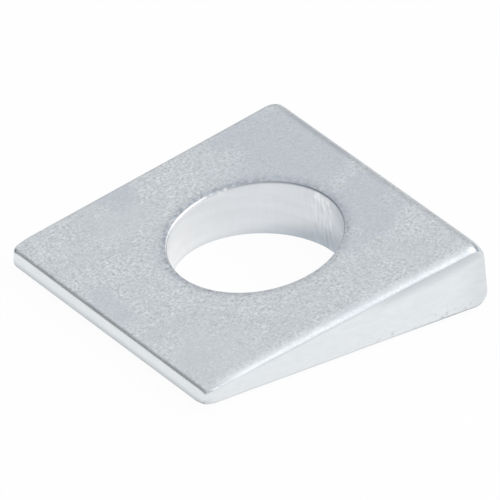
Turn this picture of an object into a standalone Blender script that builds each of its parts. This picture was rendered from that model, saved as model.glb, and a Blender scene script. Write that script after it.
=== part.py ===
"""Square beveled (taper) washer: one piece of zinc plated steel.

The real washer starts as a rolled bar of wedge section, so its thin and thick
edges are the rounded edges of that bar. The two other sides are sheared, and
the bolt hole is punched. The script follows the same steps: it draws the bar's
section, runs it from cut to cut with the blade's rollover round each cut, and
opens the hole between the two tapered faces.

+X runs up the taper, from the thin edge to the thick edge, and the bar runs
along Y. The bottom face is level, under the middle of the washer's box.
"""

import math

import bmesh
import bpy
from mathutils import Matrix, Vector

MM = 0.001

# Bar section, in the XZ plane
SECTION_LENGTH = 40.0 * MM      # thin edge to thick edge, at half the height of each
THIN_EDGE = 2.9 * MM            # thickness at the thin edge
TAPER = 1.0 / 6.0               # rise of the top face over its run
THICK_FACE_LEAN = math.radians(8.5)     # the thick edge leans back over the washer
THIN_TOP_RADIUS = 0.40 * MM
THIN_BOTTOM_RADIUS = 1.15 * MM
THICK_TOP_RADIUS = 2.0 * MM
THICK_BOTTOM_RADIUS = 1.7 * MM

# Sheared sides, which cross the bar at its two ends
CUT_WIDTH = 40.0 * MM           # cut to cut, at the middle of the section
FRONT_CUT_SKEW = math.radians(1.9)      # the front cut runs out of square
FRONT_CUT_LEAN = math.radians(5.5)      # and its lower edge is undercut
FRONT_CUT_TWIST = 0.6 * MM      # at the thin end its top edge stands out this much further
FRONT_ROLLOVER_DROP = 1.15 * MM     # the blade pulls the top edge of the cut down this far
FRONT_ROLLOVER_RUN = 1.35 * MM      # and rounds the top face this far in from the cut
BACK_ROLLOVER_DROP = 0.58 * MM
BACK_ROLLOVER_RUN = 0.68 * MM
ROLLOVER_FADE = 9.0 * MM        # stretch beside the thin edge where the rollover fades
ROLLOVER_LEFT = 0.2             # share of the rollover that is left at the thin edge
THIN_CORNER_RADIUS = 1.0 * MM   # upright edges of the cuts, worn in tumbling
THICK_CORNER_RADIUS = 1.2 * MM
CUT_BOTTOM_RADIUS = 0.75 * MM
CORNER_SHARPENING = 0.5         # how far the section's fillets follow the rollover in

# Punched hole
BORE_DIAMETER = 21.0 * MM
BORE_OFFSET = 1.55 * MM         # from the middle towards the thick edge
BORE_LEAN = math.radians(5.3)   # the top of the hole leans towards the thin edge
RIM_RADIUS = 0.18 * MM          # the edge between the dish and the bore
DISH_WIDTH = 1.3 * MM           # the punch draws the top face down round the hole
DISH_DEPTH = 0.12 * MM
BREAKOUT_HEIGHT = 0.35          # share of the wall, from the bottom, that breaks out
BREAKOUT_FLARE = 0.08 * MM      # the lower rim flares out on one side of the hole
BREAKOUT_BURR = 0.24 * MM       # and leans in, as a dull burr, on the other
BREAKOUT_TURN = math.radians(10)        # turn round the hole, from +X, to the widest flare
EXIT_RADIUS = 0.12 * MM

# Facets
SECTION_ARC_STEPS = 8
ROLLOVER_STEPS = 8
FADE_STEPS = 4
HOLE_STEPS = 96
RIM_STEPS = 4
DISH_STEPS = 4
SHARP_ANGLE = math.radians(30)          # edges turning more than this are shaded sharp
SAME_PLANE = 0.9999                     # cosine above which two normals count as one

ZINC_COLOUR = (0.60, 0.63, 0.66, 1.0)
ZINC_ROUGHNESS = 0.42


def clear_scene():
    for old in list(bpy.data.objects):
        bpy.data.objects.remove(old, do_unlink=True)


def thickness_at(x):
    return THIN_EDGE + TAPER * (x + SECTION_LENGTH / 2)


def section_faces():
    """Outward normal and distance from the origin of the section's four faces."""
    half = SECTION_LENGTH / 2
    through = {
        "thin": (Vector((-1, 0, 0)), Vector((-half, 0, 0))),
        "bottom": (Vector((0, 0, -1)), Vector((0, 0, 0))),
        "thick": (Vector((math.cos(THICK_FACE_LEAN), 0, math.sin(THICK_FACE_LEAN))),
                  Vector((half, 0, thickness_at(half) / 2))),
        "top": (Vector((-TAPER, 0, 1)).normalized(), Vector((0, 0, thickness_at(0)))),
    }
    return {name: (normal, normal.dot(point)) for name, (normal, point) in through.items()}


def arc_centre(first, second, radius):
    """Where the centre of a fillet between two faces lies, in the XZ plane."""
    (n1, d1), (n2, d2) = first, second
    cross = n1.x * n2.z - n1.z * n2.x
    x = ((d1 - radius) * n2.z - (d2 - radius) * n1.z) / cross
    z = ((d2 - radius) * n1.x - (d1 - radius) * n2.x) / cross
    return Vector((x, 0, z))


def held_in(wall, *roundings):
    """How much of these roundings a wall has room for, as a share."""
    return min(1.0, wall / sum(roundings))


def bar_loop(turn, drop, run):
    """The bar's outline at one turn of a cut's edges, as (point, reach of the edge there).

    At a turn of 0 the top face is drawn down by the rollover's whole drop, and each
    other face in by its edge's radius, which gives the outline of the cut's flat. At
    90 degrees the faces are the section's own. The reach is how far in from the cut
    the rounding goes: the rollover's run along the top, and the radius elsewhere.
    """
    faces = section_faces()
    room = held_in(THIN_EDGE, THIN_TOP_RADIUS, THIN_BOTTOM_RADIUS, ROLLOVER_LEFT * drop, CUT_BOTTOM_RADIUS)
    thin, thick = (THIN_CORNER_RADIUS,) * 2, (THICK_CORNER_RADIUS,) * 2
    low_at_thin, low_at_thick = (CUT_BOTTOM_RADIUS * room,) * 2, (CUT_BOTTOM_RADIUS,) * 2
    top_at_thin = (drop * ROLLOVER_LEFT * room, run * ROLLOVER_LEFT * room)
    corners = [
        ("thin", "bottom", THIN_BOTTOM_RADIUS * room, thin, low_at_thin),
        ("bottom", "thick", THICK_BOTTOM_RADIUS, low_at_thick, thick),
        ("thick", "top", THICK_TOP_RADIUS, thick, (drop, run)),
        ("top", "thin", THIN_TOP_RADIUS * room, top_at_thin, thin),
    ]
    drawn_in = 1 - math.sin(turn)
    outline = []
    for first, second, radius, (draw_1, reach_1), (draw_2, reach_2) in corners:
        (n1, d1), (n2, d2) = faces[first], faces[second]
        fillet = radius - CORNER_SHARPENING * drawn_in * min(draw_1, draw_2, radius)
        centre = arc_centre((n1, d1 - draw_1 * drawn_in), (n2, d2 - draw_2 * drawn_in), fillet)
        for step in range(SECTION_ARC_STEPS + 1):
            share = step / SECTION_ARC_STEPS
            blend = math.sin(math.pi / 2 * share) ** 2
            reach = reach_1 + (reach_2 - reach_1) * blend
            outline.append((centre + n1.slerp(n2, share) * fillet, reach))
        if second == "top":     # the rollover keeps its size up to where it starts to fade
            for step in range(FADE_STEPS):
                share = step / FADE_STEPS
                size = 1 - (1 - ROLLOVER_LEFT) * share * share * (3 - 2 * share)
                x = (1 - share) * ROLLOVER_FADE - SECTION_LENGTH / 2
                edge = Vector((x, 0, thickness_at(x))) - n2 * drop * size * drawn_in
                outline.append((edge, run * size))
    return outline


def cut_plane(front, point):
    """Y of the sheared face over a point of the section."""
    if not front:
        return CUT_WIDTH / 2
    out_of_square = math.tan(FRONT_CUT_SKEW) * point.x
    undercut = math.tan(FRONT_CUT_LEAN) * (point.z - thickness_at(0) / 2)
    towards_thin = 0.5 - point.x / SECTION_LENGTH
    twist = FRONT_CUT_TWIST * towards_thin ** 3 * point.z / thickness_at(point.x)
    return -(CUT_WIDTH / 2 + out_of_square + undercut + twist)


def cut_loops(front):
    """Loops from the flat of a cut, round its edges, to the full section."""
    inwards = 1 if front else -1
    drop = FRONT_ROLLOVER_DROP if front else BACK_ROLLOVER_DROP
    run = FRONT_ROLLOVER_RUN if front else BACK_ROLLOVER_RUN
    loops = []
    for step in range(ROLLOVER_STEPS + 1):
        turn = math.pi / 2 * step / ROLLOVER_STEPS
        loop = []
        for point, reach in bar_loop(turn, drop, run):
            y = cut_plane(front, point) + inwards * reach * (1 - math.cos(turn))
            loop.append(Vector((point.x, y, point.z)))
        loops.append(loop)
    return loops


def breakout(angle):
    """How far the lower rim stands out from the bore, at an angle round the hole."""
    middle = (BREAKOUT_FLARE - BREAKOUT_BURR) / 2
    swing = (BREAKOUT_FLARE + BREAKOUT_BURR) / 2
    return middle + swing * math.cos(angle - BREAKOUT_TURN)


def hole_loop(face, growth, depth, broken_out=False):
    """A loop round the hole, grown from the bore's radius, at a depth under a face."""
    normal, offset = face
    axis = Vector((-math.sin(BORE_LEAN), 0, math.cos(BORE_LEAN)))
    across = Vector((math.cos(BORE_LEAN), 0, math.sin(BORE_LEAN)))
    along = Vector((0, 1, 0))
    centre = Vector((BORE_OFFSET, 0, thickness_at(BORE_OFFSET) / 2))
    loop = []
    for step in range(HOLE_STEPS):
        angle = math.tau * step / HOLE_STEPS
        radius = BORE_DIAMETER / 2 + growth + (breakout(angle) if broken_out else 0)
        point = centre + radius * (across * math.cos(angle) + along * math.sin(angle))
        point += axis * ((offset - depth - normal.dot(point)) / normal.dot(axis))
        loop.append(point)
    return loop


def hole_loops():
    """Loops from the top face, down the dish and the bore, to the bottom face."""
    faces = section_faces()
    top, bottom = faces["top"], faces["bottom"]
    loops = []
    for step in range(DISH_STEPS):
        growth = DISH_WIDTH + (RIM_RADIUS - DISH_WIDTH) * step / DISH_STEPS
        loops.append(hole_loop(top, growth, DISH_DEPTH * (1 - growth / DISH_WIDTH) ** 2))
    rim_depth = DISH_DEPTH * (1 - RIM_RADIUS / DISH_WIDTH) ** 2
    for step in range(RIM_STEPS + 1):
        turn = math.pi / 2 * step / RIM_STEPS
        growth = RIM_RADIUS * (1 - math.sin(turn))
        loops.append(hole_loop(top, growth, rim_depth + RIM_RADIUS * (1 - math.cos(turn))))
    # The burnished wall is straight, and the rest breaks out to the lower rim.
    wall_end = hole_loop(bottom, 0, EXIT_RADIUS)
    loops.append([low.lerp(high, BREAKOUT_HEIGHT) for low, high in zip(wall_end, loops[-1])])
    for step in range(RIM_STEPS + 1):
        turn = math.pi / 2 * step / RIM_STEPS
        growth = EXIT_RADIUS * (1 - math.cos(turn))
        loops.append(hole_loop(bottom, growth, EXIT_RADIUS * (1 - math.sin(turn)), broken_out=True))
    return loops


def skin(bm, loops):
    """Extrude a closed loop through the others. Gives each loop's edges, in order."""
    verts = [bm.verts.new(point) for point in loops[0]]
    edges = [bm.edges.new((verts[i - 1], verts[i])) for i in range(len(verts))]
    loop_edges = [edges]
    for loop in loops[1:]:
        made = bmesh.ops.extrude_edge_only(bm, edges=edges)["geom"]
        new_edges = [item for item in made if isinstance(item, bmesh.types.BMEdge)]
        new_verts = {item for item in made if isinstance(item, bmesh.types.BMVert)}
        rail = [next(e.other_vert(vert) for e in vert.link_edges if e.other_vert(vert) in new_verts)
                for vert in verts]
        for vert, point in zip(rail, loop):
            vert.co = point
        verts, edges = rail, new_edges
        loop_edges.append(edges)
    return loop_edges


def open_flat(bm, normal):
    """Remove the flat that looks along a normal. Gives the edges round it."""
    flat = [face for face in bm.faces if abs(face.normal.dot(normal)) > SAME_PLANE]
    edges = [edge for face in flat for edge in face.edges
             if sum(neighbour in flat for neighbour in edge.link_faces) == 1]
    bmesh.ops.delete(bm, geom=flat, context="FACES")
    return edges


def taper_washer_mesh():
    bm = bmesh.new()
    bar = skin(bm, cut_loops(front=True) + cut_loops(front=False)[::-1])
    for cut in (bar[0], bar[-1]):
        flat = bmesh.ops.edgeloop_fill(bm, edges=cut)["faces"]
        bmesh.ops.triangulate(bm, faces=flat, quad_method="BEAUTY", ngon_method="BEAUTY")
    bm.normal_update()
    faces = section_faces()
    round_top = open_flat(bm, faces["top"][0])
    round_bottom = open_flat(bm, faces["bottom"][0])
    hole = skin(bm, hole_loops())
    bmesh.ops.triangle_fill(bm, edges=round_top + hole[0], use_beauty=True)
    bmesh.ops.triangle_fill(bm, edges=round_bottom + hole[-1], use_beauty=True)
    bmesh.ops.recalc_face_normals(bm, faces=bm.faces)
    mesh = bpy.data.meshes.new("taper_washer")
    bm.to_mesh(mesh)
    bm.free()
    return mesh


def stand_on_origin(mesh):
    """Move the mesh so that the middle of its box is over the origin, on the floor."""
    lows = [min(vert.co[i] for vert in mesh.vertices) for i in range(3)]
    highs = [max(vert.co[i] for vert in mesh.vertices) for i in range(3)]
    middle = Vector(((lows[0] + highs[0]) / 2, (lows[1] + highs[1]) / 2, lows[2]))
    mesh.transform(Matrix.Translation(-middle))


def zinc_plate():
    """Bright zinc plating over steel: pale blue-grey and satin."""
    material = bpy.data.materials.new("zinc_plated_steel")
    material.use_nodes = True
    shader = material.node_tree.nodes["Principled BSDF"]
    shader.inputs["Base Color"].default_value = ZINC_COLOUR
    shader.inputs["Metallic"].default_value = 1.0
    shader.inputs["Roughness"].default_value = ZINC_ROUGHNESS
    return material


def make_washer():
    mesh = taper_washer_mesh()
    stand_on_origin(mesh)
    mesh.shade_smooth()
    mesh.set_sharp_from_angle(angle=SHARP_ANGLE)
    mesh.materials.append(zinc_plate())
    washer = bpy.data.objects.new("taper_washer", mesh)
    bpy.context.scene.collection.objects.link(washer)
    return washer


clear_scene()
make_washer()
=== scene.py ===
# Square taper washer in bright zinc plate: the looks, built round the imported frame
import math

import bmesh
import bpy
from mathutils import Matrix, Vector, noise


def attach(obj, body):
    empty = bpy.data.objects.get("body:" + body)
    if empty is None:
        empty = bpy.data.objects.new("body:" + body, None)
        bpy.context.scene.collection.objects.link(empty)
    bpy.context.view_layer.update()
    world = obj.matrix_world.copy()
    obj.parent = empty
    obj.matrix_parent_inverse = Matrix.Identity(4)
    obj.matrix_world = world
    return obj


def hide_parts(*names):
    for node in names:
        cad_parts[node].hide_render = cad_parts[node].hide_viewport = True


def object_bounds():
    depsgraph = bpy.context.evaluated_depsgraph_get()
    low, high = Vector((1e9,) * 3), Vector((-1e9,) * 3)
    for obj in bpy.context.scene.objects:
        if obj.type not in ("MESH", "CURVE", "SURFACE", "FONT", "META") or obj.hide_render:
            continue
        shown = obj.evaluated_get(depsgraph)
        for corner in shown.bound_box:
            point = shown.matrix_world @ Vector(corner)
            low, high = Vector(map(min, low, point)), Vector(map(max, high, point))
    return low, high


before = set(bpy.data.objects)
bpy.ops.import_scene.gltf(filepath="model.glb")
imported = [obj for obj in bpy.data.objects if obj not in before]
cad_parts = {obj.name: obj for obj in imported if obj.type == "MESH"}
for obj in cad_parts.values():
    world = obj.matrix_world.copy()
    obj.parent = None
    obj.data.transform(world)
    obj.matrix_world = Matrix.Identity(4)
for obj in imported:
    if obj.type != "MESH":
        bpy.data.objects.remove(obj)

cadLow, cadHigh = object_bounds()
print("frame loaded, box in mm:", [round(1000 * side, 2) for side in cadHigh - cadLow])


def toLinear(hexColour):
    # "b9c0c6" as sRGB to the linear colour that a shader takes
    channels = [int(hexColour[i:i + 2], 16) / 255 for i in (0, 2, 4)]
    linear = [c / 12.92 if c <= 0.04045 else ((c + 0.055) / 1.055) ** 2.4 for c in channels]
    return (*linear, 1.0)


def addNode(tree, kind, settings=None, links=None):
    # one node, its values or properties, and what feeds its inputs
    node = tree.nodes.new(kind)
    for name, value in (settings or {}).items():
        if isinstance(name, int) or name in node.inputs:
            node.inputs[name].default_value = value
        else:
            setattr(node, name, value)
    for name, source in (links or {}).items():
        tree.links.new(source, node.inputs[name])
    return node


# The washer: a rolled wedge bar, sheared to length and punched.
# Sizes are in mm and degrees, in the bar's own frame, and it is moved to the CAD box at the end.
washer = {
    "sectionLength": 40.0,
    "thinEdge": 2.9,
    "slope": 1 / 6,
    "thickFaceLean": 8.5,
    "thinTopRadius": 0.72,
    "thinBottomRadius": 1.15,
    "thickTopRadius": 2.0,
    "thickBottomRadius": 1.7,
    "cutWidth": 40.0,
    "cutSkew": 1.9,
    "cutLean": 5.5,
    "cutTwist": 0.6,            # how much further out the cut's top edge is at the thin end
    "cutTwistPower": 3,         # and how closely the twist keeps to that end
    # the sheared side's top edge, from the flat of the cut up and over to the top face:
    # mm along the surface, and degrees that it has turned from upright by then
    "rollProfile": [(0.0, 0), (0.5, 13), (0.56, 38), (1.3, 66), (2.3, 90)],
    # share of the way along the top edge, from the thick end (0) to the thin end (1), and the
    # size of that profile there, down and in: towards the thin end it gets lower but not narrower
    "frontRoll": [(0.0, 0.95, 0.9), (0.06, 1.0, 1.0), (0.7, 0.97, 1.05), (0.93, 0.66, 1.05),
                  (0.98, 0.48, 0.95), (1.0, 0.12, 0.85)],
    "backRoll": [(0.0, 0.5, 0.5), (1.0, 0.3, 0.3)],
    # radius of a sheared side's other edges
    "frontEdges": {"thin": 0.3, "bottom": 0.9, "thick": 1.2},
    "backEdges": {"thin": 1.0, "bottom": 0.75, "thick": 1.2},
    # corners that the tumbling barrel wore: where, how far the wear reaches, and how it moved them
    "wornCorners": [((20.0, -21.0, 9.6), 3.0, (-0.18, 0.10, -0.42)),
                    ((-20.0, 20.0, 2.9), 2.6, (0.04, -0.06, -0.24)),
                    ((-20.0, -19.2, 0.0), 2.2, (0.10, 0.10, 0.30))],
    "filletShare": 0.5,         # how far the section's fillets follow the rollover in
    "filletMost": 0.7,          # and the most of a fillet that this takes
    "boreDiameter": 21.0,
    "boreOffset": 1.55,
    "boreLean": 5.3,
    # how far out the hole's rim is worn, where it is sharpest and where it is most worn
    "rimReach": (0.15, 0.38),
    "rimWornTurn": 132.0,       # degrees round the hole to where it is most worn
    "rimWornPower": 3,          # and how closely the wear keeps to that side
    "rimTurn": 66.0,            # how steep it gets before it meets the wall at a crisp edge
    "rimFoot": 0.02,
    "dishWidth": 1.3,           # the punch pulls the top face down round the hole
    "dishDepth": 0.12,
    "breakoutShare": 0.35,      # lower part of the wall, torn rather than cut
    "breakoutCurve": 1.5,       # how late in that part it leaves the straight wall
    "breakoutFlare": 0.08,      # outwards on one side of the hole, and a burr inwards on the other
    "breakoutBurr": 0.24,
    "breakoutTurn": 10.0,       # degrees round the hole to where it flares most
    "exitRadius": 0.12,
    # steps of the mesh
    "acrossSteps": 88,
    "sideSteps": 16,
    "arcSteps": 12,
    "rollSteps": 20,
    "profileSteps": 200,        # pieces in which the rolled profile is added up
    "ringSteps": 22,
    "dishSteps": 9,
    "rimShares": (0.0, 0.17, 0.34, 0.51, 0.68, 0.85, 0.97, 1.0),    # closer at its crisp foot
    "boreSteps": 30,
    "footSteps": 5,
    "mergeDistance": 1e-4,
    "sameLevel": 1e-4,          # mm off a flat that still counts as on it
    "sameFacing": 0.999999,     # cosine above which a face looks the flat's way
}


def thicknessAt(x):
    return washer["thinEdge"] + washer["slope"] * (x + washer["sectionLength"] / 2)


def shareToThin(x):
    # 0 at the thick edge and 1 at the thin edge
    return 0.5 - x / washer["sectionLength"]


def sectionFaces():
    # outward normal and distance of the four faces of the bar's section
    half = washer["sectionLength"] / 2
    lean = math.radians(washer["thickFaceLean"])
    normals = {
        "thin": Vector((-1, 0, 0)),
        "bottom": Vector((0, 0, -1)),
        "thick": Vector((math.cos(lean), 0, math.sin(lean))),
        "top": Vector((-washer["slope"], 0, 1)).normalized(),
    }
    points = {
        "thin": Vector((-half, 0, 0)),
        "bottom": Vector((0, 0, 0)),
        "thick": Vector((half, 0, thicknessAt(half) / 2)),
        "top": Vector((0, 0, thicknessAt(0))),
    }
    return {name: (normals[name], normals[name].dot(points[name])) for name in normals}


def filletCentre(first, second, radius):
    (n1, d1), (n2, d2) = first, second
    cross = n1.x * n2.z - n1.z * n2.x
    x = ((d1 - radius) * n2.z - (d2 - radius) * n1.z) / cross
    z = ((d2 - radius) * n1.x - (d1 - radius) * n2.x) / cross
    return Vector((x, 0, z))


def smoothStep(low, high, value):
    # from 0 at low to 1 at high, which may be the smaller of the two
    share = min(1.0, max(0.0, (value - low) / (high - low)))
    return share * share * (3 - 2 * share)


def rollPoint(step):
    # how far below the top face and in from the cut the rolled edge is at a step
    stops = washer["rollProfile"]
    pieces = washer["profileSteps"]
    total = stops[-1][0]
    drop = run = 0.0
    heights = [(0.0, 0.0)]
    for k in range(pieces):
        along = total * (k + 0.5) / pieces
        (l0, a0), (l1, a1) = next(pair for pair in zip(stops, stops[1:]) if along <= pair[1][0])
        angle = math.radians(a0 + (a1 - a0) * (along - l0) / (l1 - l0))
        drop += math.cos(angle) * total / pieces
        run += math.sin(angle) * total / pieces
        heights.append((drop, run))
    here = heights[round(pieces * step / washer["rollSteps"])]
    return drop - here[0], here[1]


def rollSize(stops, share):
    # size of the rolled edge, down and in, at a share of the way from the thick end to the thin end
    for (s0, down0, in0), (s1, down1, in1) in zip(stops, stops[1:]):
        if share <= s1:
            turn = smoothStep(s0, s1, share)
            return down0 + (down1 - down0) * turn, in0 + (in1 - in0) * turn
    return stops[-1][1:]


def sectionLoop(step, front):
    # the bar's outline at a step of its rolled end, as (point, depth from the cut's plane)
    faces = sectionFaces()
    rolls = washer["frontRoll" if front else "backRoll"]
    edges = washer["frontEdges" if front else "backEdges"]
    corners = [
        ("thin", "bottom", "thinBottomRadius"),
        ("bottom", "thick", "thickBottomRadius"),
        ("thick", "top", "thickTopRadius"),
        ("top", "thin", "thinTopRadius"),
    ]
    turn = math.pi / 2 * step / washer["rollSteps"]
    drop, run = rollPoint(step)
    arcs = []
    for first, second, radiusName in corners:
        (n1, d1), (n2, d2) = faces[first], faces[second]
        down, inwards = rollSize(rolls, 0.0 if second == "top" else 1.0)
        sides = []
        for name in (first, second):
            if name == "top":
                sides.append((down * drop, inwards * run))
            else:
                sides.append((edges[name] * (1 - math.sin(turn)), edges[name] * (1 - math.cos(turn))))
        (in1, depth1), (in2, depth2) = sides
        radius = washer[radiusName]
        fillet = radius - min(washer["filletShare"] * min(in1, in2), washer["filletMost"] * radius)
        centre = filletCentre((n1, d1 - in1), (n2, d2 - in2), fillet)
        arc = []
        for k in range(washer["arcSteps"] + 1):
            share = k / washer["arcSteps"]
            blend = math.sin(math.pi / 2 * share) ** 2
            arc.append((centre + n1.slerp(n2, share) * fillet, depth1 + (depth2 - depth1) * blend))
        arcs.append(arc)
    outline = []
    for k, steps in enumerate((washer["acrossSteps"], washer["sideSteps"]) * 2):
        start, stop = arcs[k][-1], arcs[(k + 1) % 4][0]
        outline += arcs[k]
        for between in range(1, steps):
            share = between / steps
            point, depth = (a + (b - a) * share for a, b in zip(start, stop))
            if k == 2:      # the top edge, whose roll changes along it
                down, inwards = rollSize(rolls, share)
                point = Vector((point.x, 0, thicknessAt(point.x))) - faces["top"][0] * down * drop
                depth = inwards * run
            outline.append((point, depth))
    return outline


def cutPlane(front, point):
    # y of a sheared side over a point of the section
    if not front:
        return washer["cutWidth"] / 2
    skew = math.tan(math.radians(washer["cutSkew"])) * point.x
    lean = math.tan(math.radians(washer["cutLean"])) * (point.z - thicknessAt(0) / 2)
    twistShare = shareToThin(point.x) ** washer["cutTwistPower"]
    twist = washer["cutTwist"] * twistShare * point.z / thicknessAt(point.x)
    return -(washer["cutWidth"] / 2 + skew + lean + twist)


def cutLoops(front):
    # from the flat of the cut, round its rolled edges, to the full section
    inwards = 1 if front else -1
    loops = []
    for step in range(washer["rollSteps"] + 1):
        loop = []
        for point, depth in sectionLoop(step, front):
            loop.append(Vector((point.x, cutPlane(front, point) + inwards * depth, point.z)))
        loops.append(loop)
    return loops


def barLoops():
    # every loop of the bar's skin, from the front cut to the back cut
    front, back = cutLoops(front=True), cutLoops(front=False)[::-1]
    between = []
    for step in range(1, washer["acrossSteps"]):
        share = step / washer["acrossSteps"]
        between.append([a.lerp(b, share) for a, b in zip(front[-1], back[0])])
    return front + between + back


def flatEdge(loops, face):
    # the points round the top or bottom flat, in order, from the bar's loops
    arc, across, side = washer["arcSteps"] + 1, washer["acrossSteps"], washer["sideSteps"]
    first = {"bottom": arc - 1, "top": 3 * arc + across + side - 3}[face]
    start = washer["rollSteps"]
    flat = [loop[first:first + across + 1] for loop in loops[start:start + across + 1]]
    if face == "bottom":
        flat = [row[::-1] for row in flat]      # the outline runs the other way along the bottom
    around = flat[0][:-1] + [row[-1] for row in flat[:-1]]
    around += flat[-1][:0:-1] + [row[0] for row in flat[:0:-1]]
    return around


def holeLoop(angles, face, growth, depth):
    # round the leaning hole, at a depth under a face
    normal, offset = face
    lean = math.radians(washer["boreLean"])
    axis = Vector((-math.sin(lean), 0, math.cos(lean)))
    across = Vector((math.cos(lean), 0, math.sin(lean)))
    centre = Vector((washer["boreOffset"], 0, thicknessAt(washer["boreOffset"]) / 2))
    radius = washer["boreDiameter"] / 2 + growth
    loop = []
    for angle in angles:
        point = centre + radius * (across * math.cos(angle) + Vector((0, 1, 0)) * math.sin(angle))
        loop.append(point + axis * ((offset - depth - normal.dot(point)) / normal.dot(axis)))
    return loop


def turnedTo(angle, degrees, least):
    # 1 on the side of the hole at that turn, falling to a least value on the far side
    return least + (1 - least) * (0.5 + 0.5 * math.cos(angle - math.radians(degrees)))


def rimLoops(angles, top, rim):
    # down the dish and over a rim that starts that far out, to its crisp foot at the wall
    width, depth = washer["dishWidth"], washer["dishDepth"]
    steps = washer["dishSteps"]
    loops = []
    for step in range(steps):
        growth = width + (rim - width) * step / steps
        loops.append(holeLoop(angles, top, growth, depth * (1 - growth / width) ** 2))
    below = depth * (1 - rim / width) ** 2
    mostTurn = math.radians(washer["rimTurn"])
    radius = rim / math.sin(mostTurn)
    for share in washer["rimShares"]:
        turn = mostTurn * share
        lower = below + radius * (1 - math.cos(turn))
        loops.append(holeLoop(angles, top, rim - radius * math.sin(turn), lower))
    lowest = below + radius * (1 - math.cos(mostTurn))
    loops.append(holeLoop(angles, top, 0, lowest + washer["rimFoot"]))
    return loops


def breakoutMoves(angles):
    # how far the lower rim moves out, round the hole: a flare on one side and a burr on the other
    burr, flare = washer["breakoutBurr"], washer["breakoutFlare"]
    moves = []
    for angle in angles:
        turned = math.cos(angle - math.radians(washer["breakoutTurn"]))
        out = (flare - burr) / 2 + (flare + burr) / 2 * turned
        moves.append(Vector((math.cos(angle), math.sin(angle), 0)) * out)
    return moves


def holeLoops(topEdge, bottomEdge):
    # from the edge of the top flat in to the dish, over the rim, down the bore and out below
    faces = sectionFaces()
    top, bottom = faces["top"], faces["bottom"]
    angles = [math.atan2(point.y, point.x - washer["boreOffset"]) for point in topEdge]
    sharp, worn = (rimLoops(angles, top, reach) for reach in washer["rimReach"])
    shares = [turnedTo(angle, washer["rimWornTurn"], 0.0) ** washer["rimWornPower"] for angle in angles]
    dish = []
    for sharpLoop, wornLoop in zip(sharp, worn):
        dish.append([a.lerp(b, share) for a, b, share in zip(sharpLoop, wornLoop, shares)])
    breakout = breakoutMoves(angles)
    foot = []
    for step in range(washer["footSteps"] + 1):
        turn = math.pi / 2 * step / washer["footSteps"]
        growth = washer["exitRadius"] * (1 - math.cos(turn))
        loop = holeLoop(angles, bottom, growth, washer["exitRadius"] * (1 - math.sin(turn)))
        foot.append([point + out for point, out in zip(loop, breakout)])
    wall = []
    straight = holeLoop(angles, bottom, 0, washer["exitRadius"])
    for step in range(1, washer["boreSteps"]):
        share = step / washer["boreSteps"]
        torn = max(0.0, (share - 1 + washer["breakoutShare"]) / washer["breakoutShare"])
        low = [a.lerp(b, torn ** washer["breakoutCurve"]) for a, b in zip(straight, foot[0])]
        wall.append([a.lerp(b, share) for a, b in zip(dish[-1], low)])
    rings = [k / washer["ringSteps"] for k in range(washer["ringSteps"])]
    topRings = [[a.lerp(b, share) for a, b in zip(topEdge, dish[0])] for share in rings]
    lowRings = [[a.lerp(b, share) for a, b in zip(bottomEdge, foot[-1])] for share in rings]
    return topRings + dish + wall + foot + lowRings[::-1]


def skin(bm, loops):
    # extrude a closed loop of edges through the others
    verts = [bm.verts.new(point) for point in loops[0]]
    edges = [bm.edges.new((verts[i - 1], verts[i])) for i in range(len(verts))]
    made = [verts]
    for loop in loops[1:]:
        new = bmesh.ops.extrude_edge_only(bm, edges=edges)["geom"]
        edges = [item for item in new if isinstance(item, bmesh.types.BMEdge)]
        newVerts = {item for item in new if isinstance(item, bmesh.types.BMVert)}
        verts = [next(e.other_vert(v) for e in v.link_edges if e.other_vert(v) in newVerts) for v in verts]
        for vert, point in zip(verts, loop):
            vert.co = point
        made.append(verts)
    return made


def openFlat(bm, face, edgePoints):
    # take out the flat's faces, where the rings round the hole go
    normal, offset = face
    box = [(min(p[i] for p in edgePoints), max(p[i] for p in edgePoints)) for i in range(2)]
    inside = []
    for f in bm.faces:
        centre = f.calc_center_median()
        level = abs(normal.dot(centre) - offset) < washer["sameLevel"]
        if level and all(low < centre[i] < high for i, (low, high) in enumerate(box)):
            if abs(f.normal.dot(normal)) > washer["sameFacing"]:
                inside.append(f)
    bmesh.ops.delete(bm, geom=inside, context="FACES")


def capCut(bm, loop):
    # fill the flat of a cut with a grid, from one half of its outline to the other
    half = washer["arcSteps"] // 2
    acrossEdges = washer["acrossSteps"] + 2 * half
    sideEdges = washer["sideSteps"] + 2 * half
    rails = []
    for start in (half, half + acrossEdges + sideEdges):
        for k in range(start, start + acrossEdges):
            rails.append(bm.edges.get((loop[k % len(loop)], loop[(k + 1) % len(loop)])))
    bmesh.ops.grid_fill(bm, edges=rails, mat_nr=0, use_smooth=True, use_interp_simple=False)


def washerMesh():
    bm = bmesh.new()
    loops = barLoops()
    made = skin(bm, loops)
    faces = sectionFaces()
    bm.normal_update()
    topEdge, bottomEdge = flatEdge(loops, "top"), flatEdge(loops, "bottom")
    openFlat(bm, faces["top"], topEdge)
    openFlat(bm, faces["bottom"], bottomEdge)
    capCut(bm, made[0])
    capCut(bm, made[-1])
    skin(bm, holeLoops(topEdge, bottomEdge))
    bmesh.ops.remove_doubles(bm, verts=bm.verts, dist=washer["mergeDistance"])
    bmesh.ops.recalc_face_normals(bm, faces=bm.faces)
    print("washer mesh:", len(bm.verts), "points,", len(bm.faces), "faces,",
          sum(not edge.is_manifold for edge in bm.edges), "open edges")
    return bm


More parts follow.
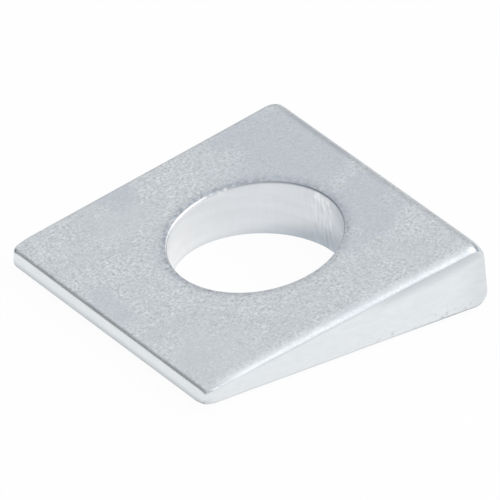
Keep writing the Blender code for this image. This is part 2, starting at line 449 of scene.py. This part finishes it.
# What the mill, the blade and the punch left: how deep or strong, and mm from one to the next.
# The waves, the ripple, the streaks and the torn wall are real form. The rest makes finishes, painted shade
# and painted highlights uneven.
toolMarks = {
    "faceWave": (0.010, 9.0),       # the rolled faces are not quite flat
    "cutWave": (0.030, 4.5),
    "cutRipple": (0.008, 1.1),
    "boreStreak": (0.004, 0.70),    # upright scores down the punched wall
    "tornWall": (0.030, 0.9),
    "spotWander": (3.5, 4.0),       # mm that the edge of a smooth spot strays
    "boreHighlightWander": (1.2, 0.6),
    "rimHighlightBreaks": (0.30, 0.60),       # breaks in the painted rim highlight, as a share of its brightness
    "dishShadeBlotch": (1.30, 0.50),   # and how uneven the painted shade round the hole is
}
streakRise = 0.02                   # share of the height that the bore's scores follow

# Where each finish is. Unless its own note says otherwise, a pair fades in from its first value to
# its second. A Facing is how far the surface's normal points some way, out of 1, an End is a share
# of the way to the thin edge, and a Height or Depth is in mm. A Turn is the degrees round the hole,
# from the thick side, to where that finish is strongest, and how closely it keeps to there.
finishes = {
    "names": ["sheared", "rolledEdge", "burnished", "punched", "torn", "paintedBoreLight", "scored", "dishShade",
              "paintedRimHighlight", "darkRimReflection", "smooth", "bluish", "under", "pitted"],
    "holeZone": 3.0,                # mm out from the hole where only the punch left its marks

    # the sheared sides and the rolled edges
    "shearedFacing": (0.72, 0.92),
    "shearedSpread": 0.55,          # how much further up the rolled edge the blade rubbed at the thin end
    "shearedEnd": (0.72, 0.90),
    "rolledFacing": (0.70, 0.90),
    "rolledLowFacing": (0.35, 0.55),
    "uprightFacing": (0.35, 0.15),
    "creaseDrop": 0.66,             # mm below the top face, where the rolled edge meets the cut
    "burnishedShare": 0.24,         # share of the thickness that the blade rubbed under its edge
    "burnishedEnd": (0.48, 0.28),
    "thickEndShade": (0.45, 0.14),    # strength of the painted shade on the cut at the thick end, and its share of the way
    "footRub": (0.35, 0.35),        # its strength at the rolled edge's foot, and mm that it reaches down
    "cornerEnd": (0.87, 0.96),      # the painted shade line over the crease at the front's thin corner
    "cornerLine": (0.24, 0.06),     # mm from its middle
    "cornerRise": 0.10,             # mm that its middle lies above the crease
    "pittedEnd": (0.55, 0.30),
    "pittedHeight": (2.2, 0.8),

    # painted shade under the thin edge and round the seat, and darker down the thick edge
    "underMost": 0.60,
    "underHeight": (1.7, 0.45),
    "underFacing": (0.15, 0.45),
    # strength of the painted shade line round the seat: the thin edge, and the cut at its thick and thin ends
    "seatLines": (0.95, 0.75, 0.25),
    "seatLineEnd": (0.10, 0.40),
    "seatThinFacing": (0.25, 0.60),
    "seatFacing": (-0.28, -0.60),
    "thickEdgeDark": 0.3,
    "thickEdgeFacing": (0.40, 0.70),
    # short lines of painted shade in two corners: from, to, width in mm and strength
    "darkLines": [((18.3, -19.9, 8.93), (18.32, -20.7, 8.45), 0.28, 0.7),
                  ((18.3, -20.45, 8.65), (18.31, -20.65, 8.52), 0.36, 1.0),
                  ((-19.78, 19.3, 2.65), (-19.8, 19.15, 2.70), 0.36, 0.8)],
    "darkLineCore": 0.4,            # share of a line's width that is fully dark

    # the hole: its rim and wall, and the top face round it, with painted highlights, shade and a dark
    # reflection
    "rimFacing": (0.25, 0.5),
    "rimWidth": 0.5,
    "rimHighlightDepth": (0.56, 0.40),
    "rimHighlightShare": (0.74, 0.86),     # how near the rim's most worn side the painted highlight shows, with its breaks
    "darkRimReflectionDepth": (0.36, 0.20),
    "darkRimReflectionTurn": (8.0, 2),        # where the hole's upper edge has a painted dark reflection
    "wallFacing": (0.35, 0.9),
    "wallWidth": 0.6,
    "tornTurn": (-35.0, 3),         # where the torn zone is deepest; its darker colour there is partly painted shade
    "tornShare": 0.60,              # how much of the wall it takes there
    "tornEdge": (0.15, -0.25),      # and how far above and below that its edge spreads
    "boreLightTurn": (165.0, 2),       # where the wall is painted brighter, as painted light
    # a ragged painted highlight high on the wall: middle and reach in mm
    "boreHighlightSpot": ((11.7, 1.1, 6.9), 1.3),
    "boreHighlightMost": 0.65,
    "boreHighlightEdge": (1.2, 0.6),   # shares of its reach
    "scoredTurn": (4.0, 70),        # where the punch scored the wall
    "dishShadeReach": 1.6,             # mm out from the hole that the painted shade reaches
    "dishShadeTurn": 88.0,             # degrees round the hole to where the painted shade is darkest
    "dishShadeLeast": 0.35,
    "dishShadeFacing": 0.5,            # the least that counts as the top face

    # clean smooth spots on the top face: x, y and reach in mm, and how blue they are
    "smoothSpots": [(15.5, 11.0, 9.0, 1.0), (13.0, -3.0, 5.0, 1.0), (-6.0, 19.0, 2.5, 0.7),
                    (-18.5, 4.0, 1.6, 0.6), (-18.2, -1.0, 1.8, 0.6), (-18.5, -7.0, 1.8, 0.4),
                    (-15.5, -14.5, 4.5, 0.0), (-8.0, 14.0, 3.5, 0.0), (12.2, -7.8, 3.6, 0.9),
                    (9.6, -9.4, 2.4, 0.8)],
    "smoothSpotEdge": (1.3, 0.6),   # shares of a spot's reach
    "smoothFacing": (0.06, 0.30),
}


def markAt(name, point):
    depth, spacing = toolMarks[name]
    return depth * noise.noise(point / spacing)


def boreFrame(point):
    # angle round the leaning hole, and distance from its axis
    lean = math.radians(washer["boreLean"])
    middle = thicknessAt(washer["boreOffset"]) / 2
    x = point.x - washer["boreOffset"] + math.tan(lean) * (point.z - middle)
    return math.atan2(point.y, x), math.hypot(x * math.cos(lean), point.y)


def nearestOnLine(point, start, end):
    along = (point - start).dot(end - start) / (end - start).length_squared
    return start.lerp(end, min(1.0, max(0.0, along)))


def fades(name, value):
    # how far a value is through one of the named pairs
    return smoothStep(*finishes[name], value)


def roundHole(name, angle):
    # how strong a finish with a named turn is at an angle round the hole
    degrees, closeness = finishes[name]
    return turnedTo(angle, degrees, 0.0) ** closeness


def spotAt(edgeName, reach, away):
    # 1 well inside a spot of that reach, falling to 0 over its edge
    outer, inner = finishes[edgeName]
    return smoothStep(outer * reach, inner * reach, away)


def paintedShade(point, normal, outside):
    # painted shade: darker under the thin edge, round the seat, in two corners and down the thick edge
    under = finishes["underMost"] * fades("underHeight", point.z) * fades("underFacing", -normal.x)
    # the painted shade line round the seat is strong under the thin edge, and fades along the cut to that end
    thinLine, cutLineThick, cutLineThin = finishes["seatLines"]
    cutLine = cutLineThick + (cutLineThin - cutLineThick) * fades("seatLineEnd", shareToThin(point.x))
    line = cutLine + (thinLine - cutLine) * fades("seatThinFacing", -normal.x)
    under = max(under, line * fades("seatFacing", normal.z))
    under = max(under, finishes["thickEdgeDark"] * fades("thickEdgeFacing", normal.x)) * outside
    for start, end, width, strength in finishes["darkLines"]:
        away = (point - nearestOnLine(point, Vector(start), Vector(end))).length
        under = max(under, strength * smoothStep(width, finishes["darkLineCore"] * width, away))
    return under


def cutFinishes(point, normal, outside):
    # what the mill and the blade left on the sheared sides and the rolled edges
    fromThick = shareToThin(point.x)
    thickness = thicknessAt(point.x)
    onFront = point.y < 0
    crease = finishes["creaseDrop"] * rollSize(washer["frontRoll"], fromThick)[0]
    pastCrease = thickness - point.z - crease
    # the blade rubbed the whole of its rolled edge near the thin end, and further up only its foot
    nearThin = fades("shearedEnd", fromThick) * onFront
    low, high = finishes["shearedFacing"]
    spread = finishes["shearedSpread"] * nearThin
    sheared = smoothStep(low - spread, high - spread, abs(normal.y)) * outside
    rolledEdge = fades("rolledFacing" if normal.z > 0 else "rolledLowFacing", abs(normal.x))
    rolledEdge = max(rolledEdge, fades("uprightFacing", abs(normal.z))) * outside
    burnishedReach = finishes["burnishedShare"] * thickness
    burnished = sheared * smoothStep(burnishedReach, 0.0, pastCrease) * fades("burnishedEnd", fromThick)
    # painted shade on the cut towards the thick end, in the burnished colour
    strength, reach = finishes["thickEndShade"]
    burnished = max(burnished, strength * sheared * smoothStep(reach, 0.0, fromThick))
    strength, reach = finishes["footRub"]
    burnished = max(burnished, strength * (1 - nearThin) * sheared * smoothStep(reach, 0.0, pastCrease))
    # a painted shade line over the crease at the front's thin corner, darkening a highlight there
    nearCorner = fades("cornerEnd", fromThick) * onFront
    offLine = abs(pastCrease + finishes["cornerRise"])
    burnished = max(burnished, nearCorner * sheared * fades("cornerLine", offLine))
    pitted = sheared * fades("pittedEnd", fromThick) * fades("pittedHeight", point.z) * onFront
    return {"sheared": sheared, "rolledEdge": rolledEdge, "burnished": burnished, "pitted": pitted}


def holeFinishes(point, normal):
    # what the punch left on the hole's rim and wall, and on the top face round it, with painted highlights,
    # shade and a dark reflection
    radius = washer["boreDiameter"] / 2
    angle, reach = boreFrame(point)
    thickness = thicknessAt(point.x)
    below = thickness - point.z
    slant = math.hypot(normal.x, normal.y)
    rim = fades("rimFacing", slant) * (reach < radius + finishes["rimWidth"])
    highlightBreaks = markAt("rimHighlightBreaks", point) + turnedTo(angle, washer["rimWornTurn"], 0.0)
    # painted highlight on the rim, broken up, on its most worn side
    paintedRimHighlight = rim * fades("rimHighlightDepth", below) * fades("rimHighlightShare", highlightBreaks)
    # painted dark reflection on the rim's upper edge
    darkRimReflection = rim * fades("darkRimReflectionDepth", below) * roundHole("darkRimReflectionTurn", angle)
    punched = fades("wallFacing", slant) * (reach < radius + finishes["wallWidth"])
    # the torn zone; its darker colour, deepest on one side, is partly painted shade
    tornShare = finishes["tornShare"] * roundHole("tornTurn", angle)
    above, under = finishes["tornEdge"]
    torn = punched * smoothStep(tornShare + above, tornShare + under, point.z / thickness)
    # painted light: the wall brighter on one side, and a painted highlight patch
    spotMiddle, spotReach = finishes["boreHighlightSpot"]
    away = (point - Vector(spotMiddle)).length + markAt("boreHighlightWander", point)
    boreHighlightSpot = finishes["boreHighlightMost"] * punched * spotAt("boreHighlightEdge", spotReach, away)
    paintedBoreLight = max(punched * roundHole("boreLightTurn", angle), boreHighlightSpot)
    scored = punched * roundHole("scoredTurn", angle)
    # painted shade: the top face darker round the hole, most on one side
    dishShade = (normal.z > finishes["dishShadeFacing"]) * smoothStep(finishes["dishShadeReach"], 0.0, reach - radius)
    dishShade *= turnedTo(angle, finishes["dishShadeTurn"], finishes["dishShadeLeast"]) * (1 - paintedRimHighlight)
    dishShade = min(1.0, dishShade * (1 + markAt("dishShadeBlotch", point)))
    return {"punched": punched, "torn": torn, "paintedBoreLight": paintedBoreLight, "scored": scored, "dishShade": dishShade,
            "paintedRimHighlight": paintedRimHighlight, "darkRimReflection": darkRimReflection}


def skinFinishes(point, normal, outside):
    # where the rolled skin is smooth, and where it is blue as well
    smooth = fades("smoothFacing", abs(normal.y)) * outside
    bluish = 0.0
    for x, y, reach, blue in finishes["smoothSpots"]:
        away = math.hypot(point.x - x, point.y - y) + markAt("spotWander", point)
        spot = spotAt("smoothSpotEdge", reach, away)
        smooth, bluish = max(smooth, spot), max(bluish, blue * spot)
    return {"smooth": smooth, "bluish": bluish}


def finishAt(point, normal):
    # how much of each finish the surface has at a point, from 0 to 1
    reach = boreFrame(point)[1]
    outside = reach > washer["boreDiameter"] / 2 + finishes["holeZone"]
    share = {"under": paintedShade(point, normal, outside)}
    share.update(cutFinishes(point, normal, outside))
    share.update(holeFinishes(point, normal))
    share.update(skinFinishes(point, normal, outside))
    return share


def addToolMarks(bm):
    # wear the corners, move each point along its normal, and note which tool made the surface there
    for name in finishes["names"]:
        bm.verts.layers.float.new(name)
    layers = {name: bm.verts.layers.float[name] for name in finishes["names"]}
    for corner, reach, move in washer["wornCorners"]:
        for vert in bm.verts:
            vert.co += Vector(move) * smoothStep(reach, 0.0, (vert.co - Vector(corner)).length)
    bm.normal_update()
    radius = washer["boreDiameter"] / 2
    moves = []
    for vert in bm.verts:
        point, normal = vert.co.copy(), vert.normal.copy()
        share = finishAt(point, normal)
        for name, layer in layers.items():
            vert[layer] = share[name]
        angle = boreFrame(point)[0]
        around = Vector((math.cos(angle) * radius, math.sin(angle) * radius, streakRise * point.z))
        move = markAt("faceWave", point) * (1 - share["sheared"]) * (1 - share["punched"])
        move += (markAt("cutWave", point) + markAt("cutRipple", point)) * share["sheared"]
        move += markAt("boreStreak", around) * share["punched"] + markAt("tornWall", point) * share["torn"]
        moves.append((vert, normal * move))
    for vert, move in moves:
        vert.co += move


def makeWasher():
    bm = washerMesh()
    lows = [min(vert.co[i] for vert in bm.verts) for i in range(3)]
    highs = [max(vert.co[i] for vert in bm.verts) for i in range(3)]
    middle = Vector(((lows[0] + highs[0]) / 2, (lows[1] + highs[1]) / 2, lows[2]))
    addToolMarks(bm)
    cadMiddle = (cadLow + cadHigh) / 2
    home = Vector((cadMiddle.x, cadMiddle.y, cadLow.z))
    bmesh.ops.translate(bm, verts=bm.verts, vec=-middle)
    bmesh.ops.scale(bm, verts=bm.verts, vec=Vector((0.001, 0.001, 0.001)))      # mm to m
    bmesh.ops.translate(bm, verts=bm.verts, vec=home)
    mesh = bpy.data.meshes.new("washer")
    bm.to_mesh(mesh)
    bm.free()
    mesh.shade_smooth()
    piece = bpy.data.objects.new("washer", mesh)
    bpy.context.scene.collection.objects.link(piece)
    return piece


# Zinc plate: a bright electroplated coat over steel, tumbled and passivated, so it is a satin
# metal with a cold blue-grey cast and a fine matte mottle where the rolled skin was rough.
zincPlate = {
    # colours of the plate: on the matte rolled skin, where that is smooth, where a tool rubbed or cut it, and
    # painted shade, highlights and dark reflection
    "matte": "e5e9eb",
    "smooth": "dbe0e6",
    # painted shade round the hole
    "dishShade": "bcc2ca",
    "sheared": "eaeef0",
    # where the blade rubbed the cut, and painted shade on it
    "burnished": "cfd4d8",
    "punched": "e2e5e9",
    # the torn wall, partly painted shade
    "torn": "b8c0c8",
    # painted light and highlight on the bore
    "paintedBoreLight": "fafbfb",
    # painted rim highlight
    "paintedRimHighlight": "f6f7f8",
    # painted dark rim reflection
    "darkRimReflection": "a2a9b1",
    # painted shade under the thin edge, round the seat and in two corners
    "under": "949ca5",
    # roughness in the same places
    "matteRoughness": 0.46,
    "smoothRoughness": 0.34,
    "shearedRoughness": 0.32,
    "punchedRoughness": 0.36,
    "rimRoughness": 0.26,
    # sizes in mm, from one speck or streak to the next, and how strongly they show
    "mottleSize": 0.34,
    "mottleColour": 0.24,
    "mottleDepth": 0.012,
    "patchSize": 4.5,
    "patchEdge": (0.36, 0.56),      # from a smooth patch of the skin to a matte one
    "patchLeast": 0.6,              # mottle that a smooth patch keeps
    "spotLeast": 0.45,              # and the share of it that a named smooth spot keeps
    "cutGrain": (1.6, 0.5),         # along the cut and up it
    "cutGrainColour": 0.03,
    "boreBand": (9.0, 1.30),        # round the wall and up it
    "boreBandColour": 0.035,
    "boreScore": (0.50, 3.2),
    "boreScoreColour": 0.16,
    "boreScoreLeast": 0.08,         # scoring on the rest of the wall
    "cutDepth": 0.006,
    "pitSize": 0.55,
    "pitEdge": (0.60, 0.72),
    "pitColour": 0.28,
    "noiseSpan": (0.3, 0.7),        # nearly all values of the noise lie between these
}


def rolledSkin(tree, share, place):
    # the rolled skin: matte and mottled, with smooth patches and the named smooth spots
    patches = addNode(tree, "ShaderNodeTexNoise",
                      {"Scale": 1 / zincPlate["patchSize"], "Detail": 3.0, "Roughness": 0.6},
                      {"Vector": place})
    low, high = zincPlate["patchEdge"]
    patchy = addNode(tree, "ShaderNodeMapRange",
                     {"From Min": low, "From Max": high, "To Min": zincPlate["patchLeast"], "To Max": 1.0},
                     {"Value": patches.outputs["Fac"]}).outputs["Result"]
    notSmooth = addNode(tree, "ShaderNodeMapRange", {"To Min": 1.0, "To Max": zincPlate["spotLeast"]},
                        {"Value": share["smooth"]}).outputs["Result"]
    matte = addNode(tree, "ShaderNodeMath", {"operation": "MULTIPLY"}, {0: patchy, 1: notSmooth}).outputs[0]
    mottle = addNode(tree, "ShaderNodeTexNoise",
                     {"Scale": 1 / zincPlate["mottleSize"], "Detail": 2.0, "Roughness": 0.65,
                      "Distortion": 0.6},
                     {"Vector": place}).outputs["Fac"]
    notBlue = addNode(tree, "ShaderNodeMath", {"operation": "SUBTRACT"}, {0: patchy, 1: share["bluish"]})
    colour = addNode(tree, "ShaderNodeMix",
                     {"data_type": "RGBA", 6: toLinear(zincPlate["smooth"]), 7: toLinear(zincPlate["matte"])},
                     {0: notBlue.outputs[0]}).outputs[2]
    colour = addNode(tree, "ShaderNodeMix", {"data_type": "RGBA", 7: toLinear(zincPlate["dishShade"])},
                     {0: share["dishShade"], 6: colour}).outputs[2]
    low, high = zincPlate["noiseSpan"]
    speck = addNode(tree, "ShaderNodeMapRange",
                    {"From Min": low, "From Max": high, "To Min": 1 - zincPlate["mottleColour"],
                     "To Max": 1 + zincPlate["mottleColour"]}, {"Value": mottle}).outputs["Result"]
    colour = addNode(tree, "ShaderNodeMix", {"data_type": "RGBA", "blend_type": "MULTIPLY"},
                     {0: matte, 6: colour, 7: speck}).outputs[2]
    return colour, matte, mottle


def toolStreaks(tree, place):
    # noise stretched along the cut, round the bore and up it
    low, high = zincPlate["noiseSpan"]
    streaks = {}
    for name in ("cutGrain", "boreBand", "boreScore"):
        across, up = zincPlate[name]
        stretched = addNode(tree, "ShaderNodeVectorMath",
                            {"operation": "MULTIPLY", 1: (1 / across, 1 / across, 1 / up)}, {0: place})
        grain = addNode(tree, "ShaderNodeTexNoise", {"Scale": 1.0, "Detail": 3.0, "Roughness": 0.6},
                        {"Vector": stretched.outputs[0]})
        depth = zincPlate[name + "Colour"]
        streaks[name] = addNode(tree, "ShaderNodeMapRange",
                                {"From Min": low, "From Max": high, "To Min": 1 - depth, "To Max": 1 + depth},
                                {"Value": grain.outputs["Fac"]}).outputs["Result"]
    return streaks


def shearedSteel(tree, share, place, streaks):
    # the cut: bright, grained along its length, duller where the blade rubbed it and where shade is painted
    cut = addNode(tree, "ShaderNodeMix",
                  {"data_type": "RGBA", 6: toLinear(zincPlate["sheared"]),
                   7: toLinear(zincPlate["burnished"])},
                  {0: share["burnished"]}).outputs[2]
    cut = addNode(tree, "ShaderNodeMix", {"data_type": "RGBA", "blend_type": "MULTIPLY", 0: 1.0},
                  {6: cut, 7: streaks["cutGrain"]}).outputs[2]
    # the small pits low on the cut, where the blade tore grains out
    grains = addNode(tree, "ShaderNodeTexNoise", {"Scale": 1 / zincPlate["pitSize"], "Detail": 1.0},
                     {"Vector": place}).outputs["Fac"]
    low, high = zincPlate["pitEdge"]
    pits = addNode(tree, "ShaderNodeMapRange",
                   {"From Min": low, "From Max": high, "To Min": 1.0, "To Max": 1 - zincPlate["pitColour"]},
                   {"Value": grains}).outputs["Result"]
    return addNode(tree, "ShaderNodeMix", {"data_type": "RGBA", "blend_type": "MULTIPLY"},
                   {0: share["pitted"], 6: cut, 7: pits}).outputs[2]


def punchedWall(tree, share, streaks):
    # the bore: banded round, brighter with painted light and a painted highlight, dull where it tore and
    # partly painted shade there, and scored
    bore = addNode(tree, "ShaderNodeMix",
                   {"data_type": "RGBA", 6: toLinear(zincPlate["punched"]), 7: toLinear(zincPlate["paintedBoreLight"])},
                   {0: share["paintedBoreLight"]}).outputs[2]
    bore = addNode(tree, "ShaderNodeMix", {"data_type": "RGBA", 7: toLinear(zincPlate["torn"])},
                   {0: share["torn"], 6: bore}).outputs[2]
    bore = addNode(tree, "ShaderNodeMix", {"data_type": "RGBA", "blend_type": "MULTIPLY", 0: 1.0},
                   {6: bore, 7: streaks["boreBand"]}).outputs[2]
    scoring = addNode(tree, "ShaderNodeMapRange", {"To Min": zincPlate["boreScoreLeast"], "To Max": 1.0},
                      {"Value": share["scored"]}).outputs["Result"]
    return addNode(tree, "ShaderNodeMix", {"data_type": "RGBA", "blend_type": "MULTIPLY"},
                   {0: scoring, 6: bore, 7: streaks["boreScore"]}).outputs[2]


def makeZincPlate():
    material = bpy.data.materials.new("brightZincPlateOnSteel")
    material.use_nodes = True
    tree = material.node_tree
    shader = tree.nodes["Principled BSDF"]
    shader.inputs["Metallic"].default_value = 1.0
    share = {}
    for name in finishes["names"]:
        share[name] = addNode(tree, "ShaderNodeAttribute", {"attribute_name": name}).outputs["Fac"]
    metres = addNode(tree, "ShaderNodeTexCoord").outputs["Object"]
    inMm = addNode(tree, "ShaderNodeVectorMath", {"operation": "SCALE", "Scale": 1000.0}, {0: metres})
    place = inMm.outputs[0]
    rolled, matte, mottle = rolledSkin(tree, share, place)
    streaks = toolStreaks(tree, place)
    cut = shearedSteel(tree, share, place, streaks)
    bore = punchedWall(tree, share, streaks)

    sides = addNode(tree, "ShaderNodeMath", {"operation": "MAXIMUM"},
                    {0: share["sheared"], 1: share["rolledEdge"]}).outputs[0]
    colour = addNode(tree, "ShaderNodeMix", {"data_type": "RGBA"}, {0: sides, 6: rolled, 7: cut})
    colour = addNode(tree, "ShaderNodeMix", {"data_type": "RGBA"},
                     {0: share["punched"], 6: colour.outputs[2], 7: bore})
    # painted dark rim reflection, painted rim highlight and painted shade, laid over the colour
    for name in ("darkRimReflection", "paintedRimHighlight", "under"):
        colour = addNode(tree, "ShaderNodeMix", {"data_type": "RGBA", 7: toLinear(zincPlate[name])},
                         {0: share[name], 6: colour.outputs[2]})
    tree.links.new(colour.outputs[2], shader.inputs["Base Color"])

    rough = addNode(tree, "ShaderNodeMapRange",
                    {"To Min": zincPlate["smoothRoughness"], "To Max": zincPlate["matteRoughness"]},
                    {"Value": matte}).outputs["Result"]
    for mask, name in ((sides, "shearedRoughness"), (share["punched"], "punchedRoughness"),
                       (share["paintedRimHighlight"], "rimRoughness")):
        rough = addNode(tree, "ShaderNodeMix", {"data_type": "FLOAT", 3: zincPlate[name]},
                        {0: mask, 2: rough}).outputs[0]
    tree.links.new(rough, shader.inputs["Roughness"])

    notSides = addNode(tree, "ShaderNodeMath", {"operation": "SUBTRACT", 0: 1.0}, {1: sides}).outputs[0]
    skinBump = addNode(tree, "ShaderNodeBump", {"Distance": zincPlate["mottleDepth"] / 1000},
                       {"Strength": notSides, "Height": mottle})
    cutBump = addNode(tree, "ShaderNodeBump", {"Distance": zincPlate["cutDepth"] / 1000},
                      {"Strength": share["sheared"], "Height": streaks["cutGrain"],
                       "Normal": skinBump.outputs["Normal"]})
    tree.links.new(cutBump.outputs["Normal"], shader.inputs["Normal"])
    return material


piece = makeWasher()
piece.data.materials.append(makeZincPlate())
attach(piece, "root")
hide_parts("taper_washer")
print("washer placed")


# Studio: a white sweep, and a room that is brighter overhead, with two dark and two bright patches
studio = {
    "floorSize": 6.0,
    "floorGap": 0.00004,        # m that the paper lies under the washer
    "floorColour": "f4f4f4",
    "floorGlow": 0.95,          # share of the floor that shows as plain white to the camera
    "floorGlowInMetal": 0.86,   # and in the metal's reflections
    "roomColour": "f8f9fb",
    # height of a direction (0 level, 1 straight up) and how bright the room is there
    "roomHeights": [(0.0, 0.64), (0.35, 0.70), (0.66, 0.80), (0.85, 0.85), (1.0, 0.90)],
    # azimuth and elevation of the middle, half width in degrees, softness, brightness added or taken
    "flag": (-130.0, 18.0, 18.0, 20.0, -0.43),
    "sideFlag": (135.0, 8.0, 14.0, 14.0, -0.22),
    "glow": (38.0, 40.0, 28.0, 28.0, 0.23),
    "sideGlow": (98.0, 5.0, 14.0, 16.0, 0.26),
}


def standAt(azimuth, elevation, distance):
    a, e = math.radians(azimuth), math.radians(elevation)
    return distance * Vector((math.sin(a) * math.cos(e), -math.cos(a) * math.cos(e), math.sin(e)))


def makePaper():
    # plain white to the camera and in the metal, and paper that takes the washer's shadow
    material = bpy.data.materials.new("whitePaperSweep")
    material.use_nodes = True
    tree = material.node_tree
    tree.nodes.clear()
    rays = addNode(tree, "ShaderNodeLightPath")
    inMetal = addNode(tree, "ShaderNodeMath", {"operation": "MAXIMUM"},
                      {0: rays.outputs["Is Glossy Ray"], 1: rays.outputs["Is Transmission Ray"]})
    metalShare = addNode(tree, "ShaderNodeMath", {"operation": "MULTIPLY", 1: studio["floorGlowInMetal"]},
                         {0: inMetal.outputs[0]})
    seenShare = addNode(tree, "ShaderNodeMath", {"operation": "MULTIPLY", 1: studio["floorGlow"]},
                        {0: rays.outputs["Is Camera Ray"]})
    share = addNode(tree, "ShaderNodeMath", {"operation": "MAXIMUM"},
                    {0: metalShare.outputs[0], 1: seenShare.outputs[0]})
    paper = addNode(tree, "ShaderNodeBsdfDiffuse", {"Color": toLinear(studio["floorColour"])})
    white = addNode(tree, "ShaderNodeEmission", {"Color": (1, 1, 1, 1), "Strength": 1.0})
    mix = addNode(tree, "ShaderNodeMixShader", None,
                  {0: share.outputs[0], 1: paper.outputs[0], 2: white.outputs[0]})
    addNode(tree, "ShaderNodeOutputMaterial", None, {"Surface": mix.outputs[0]})
    return material


def makeFloor():
    bm = bmesh.new()
    bmesh.ops.create_grid(bm, x_segments=1, y_segments=1, size=studio["floorSize"] / 2)
    bmesh.ops.translate(bm, verts=bm.verts, vec=Vector((0, 0, cadLow.z - studio["floorGap"])))
    mesh = bpy.data.meshes.new("floor")
    bm.to_mesh(mesh)
    bm.free()
    mesh.materials.append(makePaper())
    floor = bpy.data.objects.new("floor", mesh)
    bpy.context.scene.collection.objects.link(floor)


def patchOfLight(tree, direction, patch):
    # brightness of a soft round patch of the room, by its angle from the patch's middle
    azimuth, elevation, halfWidth, softness, strength = patch
    angle = addNode(tree, "ShaderNodeVectorMath",
                    {"operation": "DOT_PRODUCT", 1: standAt(azimuth, elevation, 1.0)}, {0: direction})
    inner, outer = math.radians(halfWidth), math.radians(halfWidth + softness)
    fade = addNode(tree, "ShaderNodeMapRange",
                   {"interpolation_type": "SMOOTHSTEP", "From Min": math.cos(outer),
                    "From Max": math.cos(inner), "To Min": 0.0, "To Max": strength},
                   {"Value": angle.outputs["Value"]})
    return fade.outputs["Result"]


def makeRoom():
    world = bpy.data.worlds.new("studioRoom")
    bpy.context.scene.world = world
    world.use_nodes = True
    tree = world.node_tree
    tree.nodes.clear()
    direction = addNode(tree, "ShaderNodeTexCoord").outputs["Generated"]
    height = addNode(tree, "ShaderNodeSeparateXYZ", None, {0: direction}).outputs["Z"]
    ramp = addNode(tree, "ShaderNodeValToRGB", None, {0: height})
    for k, (position, bright) in enumerate(studio["roomHeights"]):
        element = ramp.color_ramp.elements[k] if k < 2 else ramp.color_ramp.elements.new(position)
        element.position, element.color = position, (bright, bright, bright, 1)
    level = ramp.outputs["Color"]
    for name in ("flag", "sideFlag", "glow", "sideGlow"):
        patch = patchOfLight(tree, direction, studio[name])
        level = addNode(tree, "ShaderNodeMath", {"operation": "ADD"}, {0: level, 1: patch}).outputs[0]
    rays = addNode(tree, "ShaderNodeLightPath")
    room = addNode(tree, "ShaderNodeBackground", {"Color": toLinear(studio["roomColour"])},
                   {"Strength": level})
    white = addNode(tree, "ShaderNodeBackground", {"Color": (1, 1, 1, 1), "Strength": 1.0})
    mix = addNode(tree, "ShaderNodeMixShader", None,
                  {0: rays.outputs["Is Camera Ray"], 1: room.outputs[0], 2: white.outputs[0]})
    addNode(tree, "ShaderNodeOutputWorld", None, {"Surface": mix.outputs[0]})


# The one lamp: direction it stands in, in degrees, distance and size in m, and watts
softbox = {
    "azimuth": 62.0,
    "elevation": 42.0,
    "distance": 0.9,
    "size": 0.35,
    "power": 1.6,
}


def makeSoftbox():
    data = bpy.data.lights.new("softboxRight", "AREA")
    data.shape, data.size, data.energy = "SQUARE", softbox["size"], softbox["power"]
    lamp = bpy.data.objects.new("softboxRight", data)
    lamp.location = standAt(softbox["azimuth"], softbox["elevation"], softbox["distance"])
    lamp.rotation_euler = lamp.location.to_track_quat("Z", "Y").to_euler()
    bpy.context.scene.collection.objects.link(lamp)


# The photograph's view: a long lens, aimed just behind the middle of the washer
photoView = {
    "azimuth": -35.27,
    "elevation": 31.83,
    "roll": -0.69,
    "distance": 1.40876,
    "aim": (0.0013775, 0.0021263, 0.0035705),
    "lens": 864.0,
    "sensor": 36.0,
    "clip": (0.05, 20.0),
}


def makeCamera():
    data = bpy.data.cameras.new("photoCamera")
    data.lens, data.sensor_width = photoView["lens"], photoView["sensor"]
    data.clip_start, data.clip_end = photoView["clip"]
    camera = bpy.data.objects.new("photoCamera", data)
    back = standAt(photoView["azimuth"], photoView["elevation"], photoView["distance"])
    roll = Matrix.Rotation(math.radians(photoView["roll"]), 3, "Z")
    turn = back.to_track_quat("Z", "Y").to_matrix() @ roll
    camera.matrix_world = Matrix.Translation(Vector(photoView["aim"]) + back) @ turn.to_4x4()
    bpy.context.scene.collection.objects.link(camera)
    bpy.context.scene.camera = camera


makeFloor()
makeRoom()
makeSoftbox()
makeCamera()
bpy.context.scene.view_settings.view_transform = "Standard"
print("studio lit")
